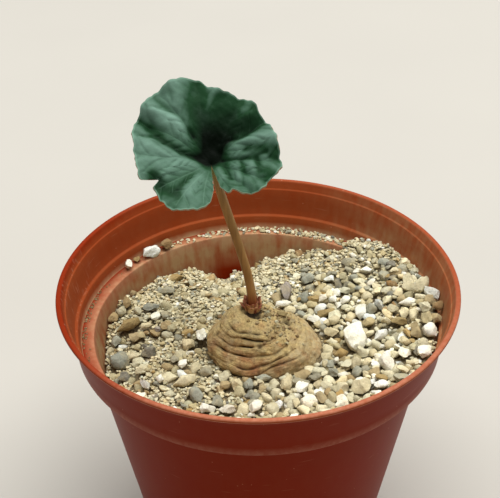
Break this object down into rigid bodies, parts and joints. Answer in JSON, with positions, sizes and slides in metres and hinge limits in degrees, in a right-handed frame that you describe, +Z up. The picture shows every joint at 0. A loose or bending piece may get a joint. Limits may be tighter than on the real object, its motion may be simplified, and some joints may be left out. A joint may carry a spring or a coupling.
{
  "type": "potted dorstenia barnimiana",
  "caption": "Flat folded caudex with a single round waved leaf on a thin stalk, standing in a round tapered plastic pot filled with mineral grit.",
  "frame": {"origin": "on the pot's axis, in the plane of its foot ring", "axes": "+Z up along the pot's axis, -Y towards the picture's viewer, +X to the viewer's right"},
  "size_m": [0.12, 0.12, 0.1558],
  "materials": {
    "pot_plastic": "satin, dusty inside",
    "mineral_grit": "dry, rough",
    "tuber_skin": "matte, creased",
    "dried_scale": "dry, papery",
    "stalk_skin": "smooth, slightly waxy",
    "leaf_skin": "satin sheen",
    "pale_stone": "dry, rough"
  },
  "bodies": {
    "root": {"pot": "pot_plastic", "substrate": "mineral_grit", "caudex": "tuber_skin", "crown_scales": "dried_scale", "leaf_stalk": "stalk_skin", "leaf_blade": "leaf_skin", "ledge_pebble_1": "pale_stone", "ledge_pebble_2": "pale_stone", "ledge_pebble_3": "pale_stone", "ledge_pebble_4": "pale_stone"}
  },
  "joints": []
}
